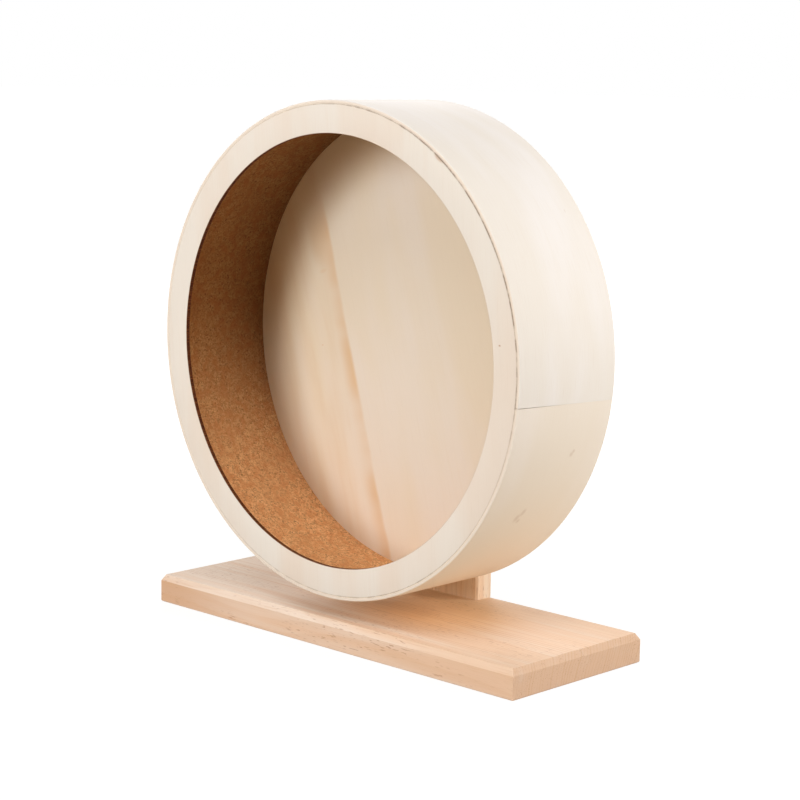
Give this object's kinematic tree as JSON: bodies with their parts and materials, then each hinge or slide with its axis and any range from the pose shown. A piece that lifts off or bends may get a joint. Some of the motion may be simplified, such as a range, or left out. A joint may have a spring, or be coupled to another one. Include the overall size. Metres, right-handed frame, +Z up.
{
  "type": "wooden exercise wheel",
  "caption": "Free-standing exercise wheel for small rodents: a bent plywood drum lined with cork, open at the front, turning on a bearing axle in an upright board on a bevelled base.",
  "frame": {"origin": "centre of the base board's underside", "axes": "+Z up; +Y from the drum's open front to the upright at the back, along the axle; +X to the right seen from the front"},
  "size_m": [0.336, 0.139, 0.364],
  "materials": {
    "solid_wood": "sanded, unfinished pale solid wood, grain along the board",
    "beech_dowel": "plain turned beech",
    "bent_plywood": "sanded birch plywood bent to a drum, pale and smooth, with a butt seam",
    "plywood": "sanded birch plywood, inner edge burnt brown where it was cut by laser",
    "cork": "raw cork granulate sheet, about 1 mm grain",
    "zinc_steel": "bright zinc-plated steel",
    "bearing_steel": "ground bearing steel"
  },
  "bodies": {
    "stand": {"base_board": "solid_wood", "upright_board": "solid_wood", "upright_screw_left": "zinc_steel", "upright_screw_right": "zinc_steel", "upright_dowel_left": "beech_dowel", "upright_dowel_right": "beech_dowel", "front_bearing_outer_ring": "bearing_steel", "front_bearing_front_shield": "bearing_steel", "front_bearing_rear_shield": "bearing_steel", "rear_bearing_outer_ring": "bearing_steel", "rear_bearing_front_shield": "bearing_steel", "rear_bearing_rear_shield": "bearing_steel"},
    "wheel": {"drum_shell": "bent_plywood", "front_ring": "plywood", "cork_liner": "cork", "back_disc": "plywood", "hub_block": "plywood", "axle_bolt": "zinc_steel", "hub_nut": "zinc_steel", "front_spacer": "zinc_steel", "inner_ring_spacer": "zinc_steel", "rear_spacer": "zinc_steel", "lock_nut": "zinc_steel", "front_bearing_inner_ring": "bearing_steel", "rear_bearing_inner_ring": "bearing_steel"},
    "front_cage": {"front_bearing_ball_cage": "bearing_steel"},
    "rear_cage": {"rear_bearing_ball_cage": "bearing_steel"}
  },
  "joints": [
    {"name": "wheel_spin", "type": "hinge", "parent": "stand", "child": "wheel", "pos_m": [0, 0, 0.199], "axis": [0, 1, 0], "continuous": true},
    {"name": "front_cage_orbit", "type": "hinge", "parent": "stand", "child": "front_cage", "pos_m": [0, 0, 0.199], "axis": [0, 1, 0], "continuous": true},
    {"name": "rear_cage_orbit", "type": "hinge", "parent": "stand", "child": "rear_cage", "pos_m": [0, 0, 0.199], "axis": [0, 1, 0], "continuous": true}
  ],
  "couplings": [
    {"joint": "front_cage_orbit", "follows": "wheel_spin", "ratio": 0.3677},
    {"joint": "rear_cage_orbit", "follows": "wheel_spin", "ratio": 0.3677}
  ]
}
